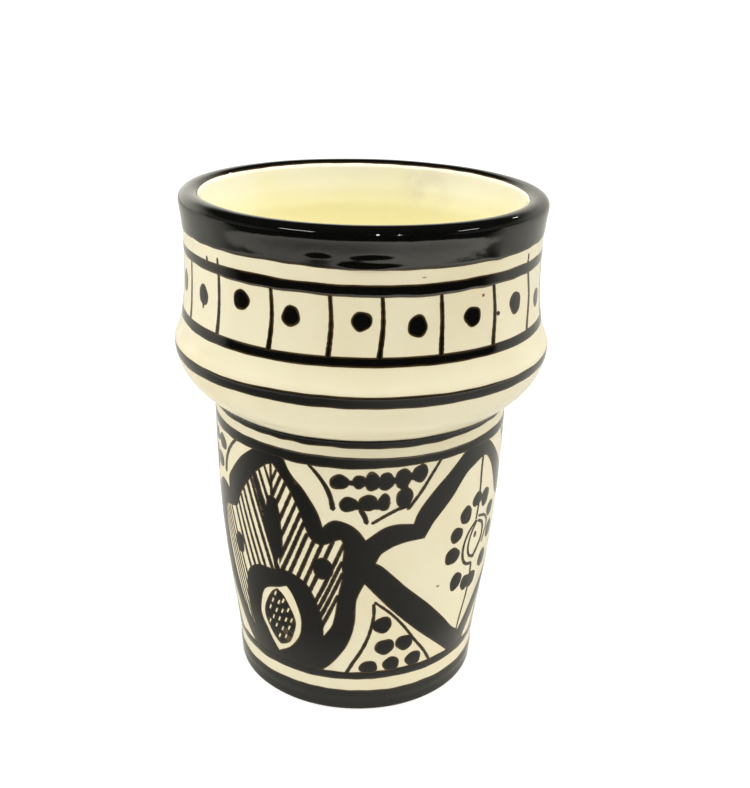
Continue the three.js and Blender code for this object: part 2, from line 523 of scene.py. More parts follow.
class Brushwork:
    """Paint on the unrolled wall, with layers one over the other. The wall is slit at an angle for that."""

    def __init__(self, radius, slit, low, high):
        self.radius = radius
        self.low, self.high = low, high
        self.left = math.radians(slit) * radius
        self.right = self.left + 2 * math.pi * radius
        corners = (self.left, low), (self.right, low), (self.right, high), (self.left, high)
        self.outlines = [[Vector(corner) for corner in corners]]
        self.layers = []
        self.cores = []
        self.dice = random.Random(SEED)

    def unrolled(self, degrees, height):
        return Vector((math.radians(degrees) * self.radius, height))

    def strayed(self, point):
        """A point moved a little where it lies on the back of the mug."""
        angle = point.x / self.radius
        share = STRAY * fade(-math.cos(angle), 0.0, STRAY_BACK)
        around = math.cos(angle) * STRAY_WAVES, math.sin(angle) * STRAY_WAVES
        spot = Vector((*around, point.y / STRAY_LENGTH_UP))
        return point + share * Vector((noise.noise(spot), noise.noise(spot + STRAY_STEP)))

    def add(self, piece, outline, within=None, core=()):
        """Adds a layer and returns its number. Without a piece it is bare glaze."""
        across = [point.x for point in outline]
        if max(across) < self.left or min(across) > self.right:
            return None
        if turns_right(outline):
            outline = outline[::-1]
        self.outlines.append([self.strayed(point) for point in outline])
        self.cores.extend(self.strayed(point) for point in core)
        self.layers.append((piece, len(self.outlines) - 1, within))
        return len(self.outlines) - 1

    def outline(self, stretches, turn):
        """Closed outline of soft stretches at a turn. Each starts in a corner, where the last one ends."""
        line = []
        start = stretches[-1][-1]
        for stretch in stretches:
            spots = [self.unrolled(angle + turn, height) for angle, height in [start, *stretch]]
            line.extend(soft_line(spots)[:-1])
            start = stretch[-1]
        return line

    def stroke(self, piece, spots, start_width, end_width, within=None):
        """A line of the brush along spots, with round ends."""
        line = soft_line([self.unrolled(*spot) for spot in spots])
        ways = ways_along(line)
        left, right = [], []
        for i, (point, way) in enumerate(zip(line, ways)):
            half = (start_width + (end_width - start_width) * i / (len(line) - 1)) / 2
            half *= 1 + STROKE_SWELL * self.dice.uniform(-1, 1)
            side = Vector((-way.y, way.x)) * half
            left.append(point + side)
            right.append(point - side)
        start_cap = line[0] - ways[0] * start_width / 2
        end_cap = line[-1] + ways[-1] * end_width / 2
        self.add(piece, left + [end_cap] + right[::-1] + [start_cap], within, line)

    def dot(self, piece, spot, half_width, half_height):
        """One touch of the brush: an ellipse with an uneven edge. Its half width is in degrees."""
        centre = self.unrolled(*spot)
        wide = math.radians(half_width) * self.radius
        leans = [self.dice.uniform(0, 2 * math.pi) for _ in DOT_SWELLS]
        outline = []
        steps = max(DOT_STEPS, round(DOT_GIRTH * max(wide, half_height) / BRUSH_STEP))
        for step in range(steps):
            turn = 2 * math.pi * step / steps
            swell = 1.0
            for (waves, rise), lean in zip(DOT_SWELLS, leans):
                swell += rise * math.sin(waves * turn + lean)
            outline.append(centre + Vector((wide * math.cos(turn), half_height * math.sin(turn))) * swell)
        self.add(piece, outline)

    def draw(self, piece, strokes, turn=0, stretch=1):
        """Strokes from a list, moved round the mug and stretched."""
        for spots, start_width, end_width in strokes:
            moved = [(turn + stretch * angle, height) for angle, height in spots]
            self.stroke(piece, moved, start_width, end_width)

    def dab(self, piece, dots, turn=0, stretch=1):
        """Dots from a list, moved round the mug and stretched."""
        for angle, height, half_width, half_height in dots:
            self.dot(piece, (turn + stretch * angle, height), half_width * abs(stretch), half_height)

    def fill_points(self):
        """Points spread over the wall between the outlines, so that the paint can follow its curve."""
        distance = distance_finder([point for outline in self.outlines for point in outline])
        width, height = self.right - self.left, self.high - self.low
        columns, rows = round(width / FILL_STEP), round(height / FILL_STEP)
        points = []
        for column in range(columns + 1):
            for row in range(1, rows):
                point = Vector((self.left + width * column / columns, self.low + height * row / rows))
                if column in (0, columns) or distance(point) > FILL_STEP / 2:
                    points.append(point)
        return points

    def cut(self):
        """Points of the unrolled wall, and the triangles that each piece of the paint covers."""
        points, rings = [], []
        for outline in self.outlines:
            rings.append(list(range(len(points), len(points) + len(outline))))
            points.extend(outline)
        points += self.cores + self.fill_points()
        points, _, triangles, _, _, sources = delaunay_2d_cdt(points, [], rings, 1, CUT_TOLERANCE, True)
        kept = {}
        for triangle, found in zip(triangles, map(set, sources)):
            piece = None
            for layer, number, within in self.layers:
                if number in found and (within is None or within in found):
                    piece = layer
            if piece and 0 in found:
                kept.setdefault(piece, []).append(triangle)
        return points, kept

    def on_slit(self, start, end):
        edges = self.left, self.right
        return any(abs(start.x - edge) + abs(end.x - edge) < SLIT_TOLERANCE for edge in edges)

    def free_edges(self, points, triangles):
        """Edges that only one of the triangles has, apart from those along the slit."""
        edges = {edge for triangle in triangles for edge in sides(triangle)}
        return [(a, b) for a, b in edges if (b, a) not in edges and not self.on_slit(points[a], points[b])]

    def make(self, finish):
        """Makes each piece of the paint as a thin closed coat on the wall, joined across the slit."""
        points, kept = self.cut()
        everything = [triangle for triangles in kept.values() for triangle in triangles]
        rim = {corner for edge in self.free_edges(points, everything) for corner in edge}
        rim_distance = distance_finder([points[corner] for corner in rim])
        for piece, triangles in kept.items():
            places, depths, numbers, on_left = [], [], {}, {}
            for corner in sorted({corner for triangle in triangles for corner in triangle}):
                point = points[corner]
                level = round(point.y, 2)
                if abs(point.x - self.right) < SLIT_TOLERANCE and level in on_left:
                    numbers[corner] = on_left[level]
                    continue
                if abs(point.x - self.left) < SLIT_TOLERANCE:
                    on_left[level] = len(places)
                numbers[corner] = len(places)
                depth = rim_distance(point)
                station, angle = outside.at_height(point.y), point.x / self.radius
                places.append(place(station, angle, paint_lift(depth, PAINT_FULL)))
                places.append(place(station, angle, -PAINT_SUNK))
                depths += [depth, depth]
            faces = []
            for triangle in triangles:
                a, b, c = (numbers[corner] for corner in triangle)
                faces += [(a, b, c), (c + 1, b + 1, a + 1)]
            for start, end in self.free_edges(points, triangles):
                a, b = numbers[start], numbers[end]
                faces.append((a + 1, b + 1, b, a))
            make_piece(piece, places, faces, finish, (), depths)


# Frieze: angles and heights of its outlines. Leaf and kite panels meet at joints like crossed ribbons.
FRIEZE_RADIUS = 32.0
FRIEZE_SLIT = -167.0
FRIEZE_LOW, FRIEZE_HIGH = 9.2, 65.2
FRIEZE_REPEAT = 180
RIGHT_JOINT, LEFT_JOINT = 3.0, -77.0
JOINT_LOW, JOINT_HIGH = 35.4, 46.7

LEAF_BORDER = [
    [(-28.6, 64.6)],
    [(-26.5, 61.8), (-23.9, 59.8), (-20.9, 58.1), (-18.3, 56), (-15.6, 53.5), (-14, 51.4), (-13, 49.3)],
    [(-11.1, 50.5), (-8, 51.3), (-2.5, 50.3), (0.7, 48.7), (RIGHT_JOINT, JOINT_HIGH)],
    [(RIGHT_JOINT, JOINT_LOW)],
    [(1.2, 33), (0, 30.7), (-0.6, 24.3), (-3.5, 18.4), (-10.2, 12.7), (-16.6, 9.5)],
    [(-52.5, 9.6)],
    [(-60.6, 13.9), (-69.3, 20.3), (-73, 25), (-76.6, 31), (LEFT_JOINT, JOINT_LOW)],
    [(LEFT_JOINT, JOINT_HIGH)],
    [(-70.5, 50.4), (-65.5, 51), (-61.2, 50.2)],
    [(-60.9, 53), (-57.9, 55.5), (-50.2, 60.5), (-42.9, 63.9), (-42, 64.6)],
]
LEAF_RIGHT = [
    [(-34.1, 61.7), (-31, 60.3), (-26.5, 56.9), (-22.6, 52.6), (-18.9, 46.8), (-17, 45.2)],
    [(-13.5, 44.7), (-9, 45.8), (-6.3, 46.5), (-5.3, 45.6)],
    [(-5.3, 43), (-5.9, 40), (-5.6, 37.3), (-7.1, 33), (-9.7, 24.2), (-13.4, 20.5)],
    [(-34.1, 20.5)],
]
LEAF_LEFT = [
    [(-34.1, 16), (-34.1, 61.7)],
    [(-36.1, 61.2), (-41.1, 58.7), (-46.5, 55), (-51.5, 51), (-54, 48), (-55.5, 46.8)],
    [(-60, 46), (-64.5, 45.3), (-67.5, 43.6)],
    [(-67.3, 40), (-66, 35), (-63.5, 28.5), (-60, 22.5), (-56.5, 18.5), (-52.5, 16)],
]
FRUIT = [
    [(-13.6, 20.3)],
    [(-13.6, 23), (-14.5, 27), (-18.6, 33), (-21.5, 34.8), (-26, 36), (-31, 36.3), (-36, 35.5), (-42, 35.1),
     (-46.5, 33.9), (-50, 32), (-52.5, 29.2), (-54.3, 22), (-53.5, 18.5), (-52.4, 16)],
    [(-48, 11)],
    [(-18, 11)],
]
FRUIT_FLESH = [
    [(-40, 14.8), (-42.7, 17.8), (-44.8, 20.1), (-45, 22.3), (-42.3, 27.3), (-40, 29.2), (-36.8, 30.2),
     (-33.2, 30.9), (-29.1, 32)],
    [(-27, 30.5), (-25, 27.8), (-23.6, 24.6), (-23.6, 21.9), (-25, 18.7), (-30, 14.8), (-36.6, 12.3)],
]
FRUIT_CORE = [
    [(-30.9, 29.2), (-28.2, 26.4), (-26.3, 23.7), (-26.1, 21.4), (-29.5, 16.4), (-32.3, 15.1), (-35.4, 14.4)],
    [(-38.2, 15.8), (-40.9, 18.3), (-42.7, 21), (-41.8, 24.2), (-36.8, 29.2), (-33.8, 30.5)],
]
SPINE = [
    [(-34, 54.2), (-31.7, 53.6)],
    [(-30.4, 50), (-29.9, 46), (-29.6, 43), (-30.7, 40.3), (-32.5, 38), (-32.8, 35.8)],
    [(-34.4, 35.8)],
    [(-34.9, 38.3), (-35.9, 41), (-37, 44.2), (-37.3, 47.5), (-37.1, 50.5), (-36.3, 53.8)],
]
SEEDS = [
    # angle, height
    (-35.1, 28.9), (-36.9, 26.6), (-33.7, 26.7), (-31.4, 27.5), (-29.3, 25.3), (-38.8, 24.3),
    (-35.4, 24.1), (-32.3, 24.5), (-28.1, 22.6), (-37.6, 21.8), (-34.4, 21.9), (-30.9, 22.3),
    (-40.1, 20), (-36.5, 19.6), (-33.2, 19.3), (-29.7, 20.2), (-35.4, 16.8), (-31.9, 17.3),
]
SEED_WIDTH, SEED_LENGTH = 0.4, 1.0
SEED_LEAN = 0.4                  # degrees sideways along half a seed

# Hatching: angle at which each line would pass the level of the widest part of the leaf, and its width
HATCH_LEVEL = 45.0
HATCH_RIGHT = [
    (-43.8, 0.8), (-41, 1.05), (-38, 1.1), (-33.9, 1.1), (-30.4, 1.1), (-26.9, 1.15), (-23.9, 1.2),
    (-20.6, 1.2), (-16.9, 1.2), (-13.3, 1.2), (-9.9, 1.2), (-5.5, 1.15), (-2.6, 1.1), (0, 1.1), (2.8, 1.1),
]
HATCH_LEFT = [
    (-26.7, 0.8), (-31, 1), (-35, 2.2), (-37.9, 1.2), (-41.3, 1.2), (-45.2, 1.05), (-48.4, 1.05),
    (-51.6, 1.05), (-55, 1.1), (-59.6, 0.85), (-62, 0.65), (-64, 0.65), (-66, 0.6), (-68, 0.6),
]
HATCH_BOW = 0.003                # bend to the right, times the square of the angle that a line crosses
HATCH_LOW, HATCH_HIGH = 14, 64
HATCH_OVERRUN = 1                # beyond the edge of the leaf, which cuts it off
HATCH_TAPER = 0.8                # width at the end, as a share of the width at the start
LEAF_MIDDLE = -32
LEAF_HALVES = [
    # outline, hatching, millimetres that a line rises in a degree, and how that changes away from the middle
    (LEAF_RIGHT, HATCH_RIGHT, 1.28, 0.0),
    (LEAF_LEFT, HATCH_LEFT, -1.6, 0.02),
]
LEAF_STROKES = [([(-34, 53.8), (-34.2, 62.3)], 0.9, 0.6)]    # spots, width at the start, width at the end
LEAF_DOTS = [(-13, 38.7, 4.15, 2.75), (-55.4, 37.6, 3.5, 2.6)]   # angle, height, half width, half height

KITE_BORDER = [
    [(43.7, 64.6)],
    [(38.5, 62), (34, 59.7), (30, 57.7), (25, 54.5), (22.2, 52), (20.9, 49.8)],
    [(14.4, 50.2), (9.8, 49.6), (5.3, 47.8), (RIGHT_JOINT, JOINT_HIGH)],
    [(RIGHT_JOINT, JOINT_LOW)],
    [(9, 31.3), (14, 28), (25.6, 21.2), (35.5, 16.1), (44.8, 11.4), (48, 9.4)],
    [(57, 9.6)],
    [(61.7, 13.3), (72, 18.8), (82, 24.8), (92, 30.8), (103, JOINT_LOW)],
    [(103, JOINT_HIGH)],
    [(97, 49), (91, 50.2), (83.5, 49.7)],
    [(76.7, 53.5), (72, 56.2), (65.2, 60.3), (60.5, 62.9), (57, 64.4)],
]
KITE_FIELD = [
    [(57.6, 60.1), (62.3, 56.8), (66.9, 51.8), (69.5, 48.9), (73.1, 46.8), (77.5, 45.6)],
    [(84, 45.7), (90, 44.4), (98.7, 40.8)],
    [(90, 35.8), (80, 29.3), (68.7, 25.4), (63.4, 22.6), (58.4, 18.9), (52.8, 15)],
    [(46.9, 17.6), (40, 21.9), (30, 28), (19.8, 33.7), (14, 37.3), (9.4, 40), (7.1, 40.8)],
    [(9, 43), (12, 44.2), (14, 44.8), (19, 45.5), (25.9, 45.6)],
    [(28, 47.8), (30, 49.5), (37.3, 53.9), (44.2, 58.5), (49.4, 59.9), (54.7, 60.8)],
]
KITE_STROKES = [
    ([(54.4, 61.4), (54, 57.1), (54.2, 53.6), (53.9, 48.3), (53.3, 45.3)], 0.75, 0.75),
    ([(53.8, 33.4), (54.1, 29.8), (54.1, 25.1), (53.5, 22.8), (52.4, 19.3), (51.6, 15.3)], 0.75, 0.75),
    ([(53.2, 44.7), (49.4, 43.1), (47.1, 40.8), (46.4, 38.5), (47.1, 36.1), (49.4, 34.4), (53.4, 33.6)],
     0.75, 0.85),
    ([(54, 44.5), (51.1, 42.3), (49.7, 39.6), (50.1, 37.3), (51.7, 35.9), (54.6, 35.4)], 0.7, 0.8),
    ([(55.2, 44.4), (58.7, 43.1), (59.8, 41.4), (59.5, 39.1), (57.5, 37.3), (54.3, 35.2)], 0.7, 1.2),
    ([(55.2, 45.6), (60.4, 44.5), (62.9, 43.1), (63.9, 41.8), (62.7, 39.6), (61, 37.4)], 0.65, 0.8),
]
KITE_DOTS = [
    (53.8, 41.1, 1, 0.9), (52.8, 50.4, 3.3, 1.8), (59.1, 49.6, 3.4, 2.2), (46.1, 47.8, 3.55, 2.2),
    (41.6, 43.6, 3.6, 1.9), (40.4, 38.4, 3.9, 2.3), (44.4, 30.8, 3.65, 2.35), (51.2, 28.9, 3.4, 2.1),
    (55.6, 28.7, 4, 2.2), (65.9, 45, 3.6, 2), (67.8, 39.1, 3.7, 2.2), (64.2, 32.2, 4, 2.4),
]

# Fields between the panels, with angles from the joint below or above them
FIELD_STROKES = [
    ([(-21.2, 63.6), (-18.2, 61.8), (-15.1, 59.3), (-13.2, 56.8), (-12.2, 54)], 0.75, 1.25),
    ([(28, 64), (23.9, 60.5), (20.2, 57.2), (15.5, 53.7)], 0.7, 0.9),
    ([(-6.7, 60.4), (-2, 60.2), (6, 60.4), (13, 61), (19, 61.5)], 1.2, 2),
    ([(-8.6, 55), (-3, 55), (3, 55.1), (7, 55.4)], 1.6, 2.2),
    ([(13.8, 58), (13.4, 60)], 1.6, 1.8),
    ([(-2.1, 54), (-0.6, 52.4), (0.1, 51)], 1.1, 1.2),
    ([(2.3, 50.8), (7.3, 52.6), (12.3, 54), (15.2, 54.3)], 0.8, 0.9),
    ([(3.9, 29.8), (4.1, 26.9), (3.4, 23.7), (1.8, 20.1), (-0.9, 16.4), (-4.1, 13.3), (-7, 10.2)], 0.8, 1.0),
    ([(4.4, 30.4), (11, 27), (16.8, 23.1), (22.6, 18.4), (28.4, 14.1), (32, 10.8)], 0.7, 0.8),
]
FIELD_DOTS = [
    (-9.9, 60.4, 3.65, 1.85), (-2.8, 60.6, 2.7, 1.6), (1.9, 60.7, 3, 2.2), (6.9, 60.6, 3, 2.2),
    (13.2, 61, 3.3, 2.3), (19.6, 61.7, 3.1, 2.2), (-6.5, 55.25, 3.7, 1.8), (0.5, 55.75, 3.3, 2.1),
    (6.3, 55.75, 2.5, 2.05), (13.9, 56.4, 3.4, 2.4), (7.9, 23.95, 4.15, 2.3), (9.4, 17.55, 4.2, 2.35),
    (18.1, 18, 4.1, 2.2), (2.7, 11.9, 4, 2), (12.8, 12.4, 3.7, 2.2), (23.2, 12.7, 3.8, 2.2),
]
FIELD_STRETCHES = [(RIGHT_JOINT, 1.0), (LEFT_JOINT, -1.1)]   # the fields at the left joint are mirrored


def paint_hatching(work, leaf, outline, turn, lines, rise, change):
    """Slanting lines across one half of a leaf, a little bent to the right."""
    for angle, width in lines:
        slant = rise + change * (angle - LEAF_MIDDLE)
        inner = []
        for height in range(HATCH_LOW, HATCH_HIGH):
            across = angle + turn + (height - HATCH_LEVEL) / slant
            if covers(outline, work.unrolled(across, height)):
                inner.append((across, height))
        if len(inner) > 1:
            (start, low), (end, high) = inner[0], inner[-1]
            middle = (start + end) / 2 + HATCH_BOW * (end - start) ** 2, (low + high) / 2
            first = start - HATCH_OVERRUN / slant, low - HATCH_OVERRUN
            last = end + HATCH_OVERRUN / slant, high + HATCH_OVERRUN
            work.stroke("frieze_hatching", [first, middle, last], width, width * HATCH_TAPER, leaf)


def paint_seeds(work, turn):
    """Bare seeds in the core of the fruit."""
    for angle, height in SEEDS:
        low = angle + turn - SEED_LEAN, height - SEED_LENGTH / 2
        high = angle + turn + SEED_LEAN, height + SEED_LENGTH / 2
        work.stroke(None, [low, high], SEED_WIDTH, SEED_WIDTH)


def paint_leaf_panel(work, turn):
    """Panel with a hatched leaf and a cut fruit at its foot."""
    work.add("frieze_panels", work.outline(LEAF_BORDER, turn))
    for half, *hatching in LEAF_HALVES:
        outline = work.outline(half, turn)
        leaf = work.add(None, outline)
        if leaf:
            paint_hatching(work, leaf, outline, turn, *hatching)
    work.add("frieze_panels", work.outline(FRUIT, turn))
    work.add("frieze_panels", work.outline(SPINE, turn))
    work.draw("frieze_lines", LEAF_STROKES, turn)
    work.dab("frieze_dots", LEAF_DOTS, turn)
    work.add(None, work.outline(FRUIT_FLESH, turn))
    work.add("frieze_panels", work.outline(FRUIT_CORE, turn))
    paint_seeds(work, turn)


def paint_kite_panel(work, turn):
    """Panel with a scroll among dots on a bare field."""
    work.add("frieze_panels", work.outline(KITE_BORDER, turn))
    work.add(None, work.outline(KITE_FIELD, turn))
    work.draw("frieze_lines", KITE_STROKES, turn)
    work.dab("frieze_dots", KITE_DOTS, turn)


def paint_fields(work, turn):
    """Lines and dots in the fields above and below the joints."""
    for joint, stretch in FIELD_STRETCHES:
        work.draw("frieze_lines", FIELD_STROKES, joint + turn, stretch)
        work.dab("frieze_dots", FIELD_DOTS, joint + turn, stretch)


def paint_frieze(finish):
    """Two rounds of leaf, joint and kite. The round at the back is drawn on both sides of the slit."""
    work = Brushwork(FRIEZE_RADIUS, FRIEZE_SLIT, FRIEZE_LOW, FRIEZE_HIGH)
    for repeat in (-1, 0, 1):
        for paint in (paint_leaf_panel, paint_kite_panel, paint_fields):
            work.dice.seed(SEED + repeat % 2)
            paint(work, repeat * FRIEZE_REPEAT)
    work.make(finish)


# Collar: bars and dots between the two lines
COLLAR_PAINT_RADIUS = 39.4
COLLAR_SLIT = 172.0
COLLAR_PAINT_LOW, COLLAR_PAINT_HIGH = 89.3, 106.6
BAR_LEVELS = (103.2, 96.5, 89.6)
FRONT_BARS = [
    # angle at the top, middle and bottom
    (-64.6, -65, -65), (-46.8, -46.8, -47.3), (-26.7, -26.3, -27.2), (-9, -8.5, -9.3),
    (5.6, 6, 5), (22.7, 23.3, 23), (41.1, 42.3, 41.4), (59.6, 61.5, 59.6),
]
BACK_BARS = 12
BAR_STRAY = 0.8                  # degrees that the bars on the back stray
BAR_WIDTHS = 0.8, 1.2            # at the top and at the bottom
BAR_STARTS = [
    # where the brush was set down above the line: angle, low, high
    (-52.8, 104.2, 105.3), (-47.1, 104.2, 105.7), (59.1, 104, 106.3),
]
BAR_START_WIDTHS = 0.8, 0.65
FRONT_DOTS = [
    # angle, height
    (-73, 97), (-55.5, 97), (-37.2, 98.8), (-20.3, 97.4), (0, 97.4), (15.9, 96.2), (33.5, 96.8),
    (52.2, 97.2), (69.1, 95.5),
]
DOT_WIDTH, DOT_HEIGHT = 3.05, 2.2
DOT_SIZES = 0.93, 1.07           # the smallest and the largest, as shares of that
BACK_DOT_LEVEL = 97
BACK_DOT_ASIDE, BACK_DOT_SWAY = 1, 0.8     # how far the dots on the back stray, in degrees and up or down
DOT_TAILS = [(-55.7, 95.4, 94.2), (-20.6, 98.9, 99.5)]   # where the brush was lifted off: angle, start, end
DOT_TAIL_WIDTHS = 1.2, 0.5


def paint_collar(finish):
    """Bars round the collar with a dot in each cell, and the touches where the brush overshot its line."""
    work = Brushwork(COLLAR_PAINT_RADIUS, COLLAR_SLIT - 360, COLLAR_PAINT_LOW, COLLAR_PAINT_HIGH)
    bars = list(FRONT_BARS)
    gap = (360 + FRONT_BARS[0][0] - FRONT_BARS[-1][0]) / (BACK_BARS + 1)
    for bar in range(1, BACK_BARS + 1):
        angle = FRONT_BARS[-1][0] + gap * bar
        bars.append([angle + work.dice.uniform(-BAR_STRAY, BAR_STRAY) for _ in BAR_LEVELS])
    dots = list(FRONT_DOTS)
    for left, right in zip(bars[len(FRONT_BARS):-1], bars[len(FRONT_BARS) + 1:]):
        angle = (left[1] + right[1]) / 2 + work.dice.uniform(-BACK_DOT_ASIDE, BACK_DOT_ASIDE)
        dots.append((angle, BACK_DOT_LEVEL + work.dice.uniform(-BACK_DOT_SWAY, BACK_DOT_SWAY)))
    for angles in bars:
        turn = -360 if angles[0] > COLLAR_SLIT else 0
        spots = [(angle + turn, level) for angle, level in zip(angles, BAR_LEVELS)]
        work.stroke("collar_bars", spots, *BAR_WIDTHS)
    for angle, low, high in BAR_STARTS:
        work.stroke("collar_bars", [(angle, low), (angle, high)], *BAR_START_WIDTHS)
    for angle, height in dots:
        turn = -360 if angle > COLLAR_SLIT else 0
        size = work.dice.uniform(*DOT_SIZES)
        work.dot("collar_dots", (angle + turn, height), DOT_WIDTH * size, DOT_HEIGHT * size)
    for angle, start, end in DOT_TAILS:
        work.stroke("collar_dots", [(angle, start), (angle, end)], *DOT_TAIL_WIDTHS)
    work.make(finish)


SPECK_SLIT = -180


def fire_specks(name, specks, finish):
    """Specks of iron that came out of the clay in the kiln."""
    work = Brushwork(COLLAR_PAINT_RADIUS, SPECK_SLIT, 0, LIP_HEIGHT)
    work.dab(name, specks)
    work.make(finish)


# Finishes

class Reading:
    """An output of a node, for use in expressions. Each operator adds one Math node to the same finish."""

    def __init__(self, finish, socket):
        self.finish = finish
        self.socket = socket

    def maths(self, operation, first, second):
        return self.finish.node("ShaderNodeMath", {"operation": operation}, {0: first, 1: second})

    def __add__(self, other):
        return self.maths("ADD", self, other)

    __radd__ = __add__

    def __sub__(self, other):
        return self.maths("SUBTRACT", self, other)

    def __rsub__(self, other):
        return self.maths("SUBTRACT", other, self)

    def __mul__(self, other):
        return self.maths("MULTIPLY", self, other)

    __rmul__ = __mul__


class Finish:
    """The nodes of one material or of the world."""

    def __init__(self, owner):
        owner.use_nodes = True
        self.owner = owner
        self.tree = owner.node_tree
        self.tree.nodes.clear()

    def node(self, kind, settings, inputs, output=0):
        """Adds a node with its settings, then its values and links, and returns one of its outputs."""
        made = self.tree.nodes.new(kind)
        for name, value in settings.items():
            setattr(made, name, value)
        for key, value in inputs.items():
            if isinstance(value, Reading):
                self.tree.links.new(value.socket, made.inputs[key])
            else:
                made.inputs[key].default_value = value
        return Reading(self, made.outputs[output])

    def places(self):
        return self.node("ShaderNodeTexCoord", {}, {}, "Object")

    def along(self, axis, vector=None):
        """Measure of a vector, or of a place on the surface, along an axis."""
        return self.node("ShaderNodeSeparateXYZ", {}, {"Vector": vector or self.places()}, axis)

    def ray(self, kind):
        """1 for rays of a kind and 0 for others."""
        return self.node("ShaderNodeLightPath", {}, {}, f"Is {kind} Ray")

    def noise(self, scale, detail=3):
        inputs = {"Vector": self.places(), "Scale": scale, "Detail": detail}
        return self.node("ShaderNodeTexNoise", {}, inputs)

    def ramp(self, value, start, end, low=0.0, high=1.0):
        """From one number to another, softly, as the value goes from its start to its end."""
        inputs = {"Value": value, "From Min": start, "From Max": end, "To Min": low, "To Max": high}
        return self.node("ShaderNodeMapRange", {"interpolation_type": "SMOOTHSTEP"}, inputs)

    def patches(self, fineness, detail, start, end):
        """Soft patches in a finer or coarser noise."""
        return self.ramp(self.noise(fineness, detail), start, end)

    def mix(self, factor, first, second):
        """Colour between two colours."""
        return self.node("ShaderNodeMix", {"data_type": "RGBA"}, {0: factor, 6: first, 7: second}, 2)

    def close(self, kind, inputs, outlet="ShaderNodeOutputMaterial"):
        """Ends the finish in one shader, and returns what it was made for."""
        shader = self.node(kind, {}, inputs)
        end = self.tree.nodes.new(outlet)
        self.tree.links.new(shader.socket, end.inputs["Surface"])
        return self.owner

    def coat(self, shade, pattern, roughness, relief, bump):
        """Ends the finish of a material that a pattern makes rougher and a relief uneven."""
        least, added = roughness
        strength, depth = bump
        height = {"Strength": strength, "Distance": depth, "Height": relief}
        return self.close("ShaderNodeBsdfPrincipled", {
            "Base Color": shade,
            "Roughness": least + added * pattern,
            "Normal": self.node("ShaderNodeBump", {}, height),
        })


def colour(red, green, blue):
    return red, green, blue, 1.0


def new_finish(name):
    return Finish(bpy.data.materials.new(name))


# Glazes and clay, where the fineness of a pattern is about its number of spots in a metre
GRAIN = 700
CLOUD_SHARE, GRAIN_SHARE = 0.7, 0.25
GLAZE_BUMP = 0.12, 0.0004                # strength, and depth in metres


def clouded(finish, clouds, shade, warm_shade):
    """Colour of a glaze that is warmer in clouds, where it lies thick."""
    warm = clouds * CLOUD_SHARE + finish.noise(GRAIN) * GRAIN_SHARE
    return finish.mix(warm, shade, warm_shade)


CREAM = colour(0.79, 0.725, 0.52)
CREAM_WARM = colour(0.755, 0.665, 0.43)
CREAM_CLOUDS = 48, 4, 0.35, 0.75         # fineness, detail, and where they start and end
CREAM_ROUGHNESS = 0.08, 0.08             # the least, and what the clouds add
CREAM_RIPPLES = 160
CRAZE = colour(0.70, 0.60, 0.40)
CRAZE_CELLS, CRAZE_WIDTH, CRAZE_SHARE = 120, 0.012, 0.15
CRAZE_PATCHES = 30, 2, 0.5, 0.62


def cream_glaze():
    """Pale glaze outside: clouds of warmer cream where it lies thick, faint crazing and a soft ripple."""
    finish = new_finish("cream_glaze")
    clouds = finish.patches(*CREAM_CLOUDS)
    shade = clouded(finish, clouds, CREAM, CREAM_WARM)
    cells = finish.node("ShaderNodeTexVoronoi", {"feature": "DISTANCE_TO_EDGE"},
                        {"Vector": finish.places(), "Scale": CRAZE_CELLS})
    craze = finish.ramp(cells, CRAZE_WIDTH, 0.0) * finish.patches(*CRAZE_PATCHES)
    crazed = finish.mix(craze * CRAZE_SHARE, shade, CRAZE)
    return finish.coat(crazed, clouds, CREAM_ROUGHNESS, finish.noise(CREAM_RIPPLES), GLAZE_BUMP)


CREAM_LIP = colour(0.96, 0.93, 0.78)
CREAM_LIP_LEVELS = 0.108, 0.119          # in metres
CREAM_LIP_STRAY, CREAM_LIP_WAVES = 0.01, 60
# Yellower and brighter than the cream outside: partly the glaze lying thick inside, partly painted light for
# the light that bounces round inside the mug
YELLOW = colour(0.935, 0.885, 0.565)
YELLOW_WARM = colour(0.915, 0.85, 0.51)
YELLOW_CLOUDS = 40, 4, 0.35, 0.75
YELLOW_ROUGHNESS = 0.08, 0.06
YELLOW_RIPPLES = 130
# Painted reflection: a soft grey patch on the far inner wall, where the glaze mirrors something dark
DARK_REFLECTION = colour(0.66, 0.62, 0.50)
DARK_REFLECTION_PLACE = (0.015, 0.0315, 0.1095)
DARK_REFLECTION_REACH = 0.009, 0.001               # distances from there in metres
DARK_REFLECTION_SHARE = 0.4
DARK_REFLECTION_PATCHES = 150, 3, 0.35, 0.6


def yellow_glaze():
    """Glaze inside: yellower in clouds, paler below the lip, with a painted dark reflection on the far wall.
    """
    finish = new_finish("yellow_glaze")
    clouds = finish.patches(*YELLOW_CLOUDS)
    deep = clouded(finish, clouds, YELLOW, YELLOW_WARM)
    height = finish.along("Z") + CREAM_LIP_STRAY * finish.noise(CREAM_LIP_WAVES, 2)
    shade = finish.mix(finish.ramp(height, *CREAM_LIP_LEVELS), deep, CREAM_LIP)
    # painted dark reflection, in soft patches round a place on the far wall
    spots = {0: finish.places(), 1: DARK_REFLECTION_PLACE}
    away = finish.node("ShaderNodeVectorMath", {"operation": "DISTANCE"}, spots, "Value")
    dark_reflection = finish.ramp(away, *DARK_REFLECTION_REACH) * finish.patches(*DARK_REFLECTION_PATCHES)
    shade_with_reflection = finish.mix(DARK_REFLECTION_SHARE * dark_reflection, shade, DARK_REFLECTION)
    return finish.coat(shade_with_reflection, clouds, YELLOW_ROUGHNESS, finish.noise(YELLOW_RIPPLES), GLAZE_BUMP)


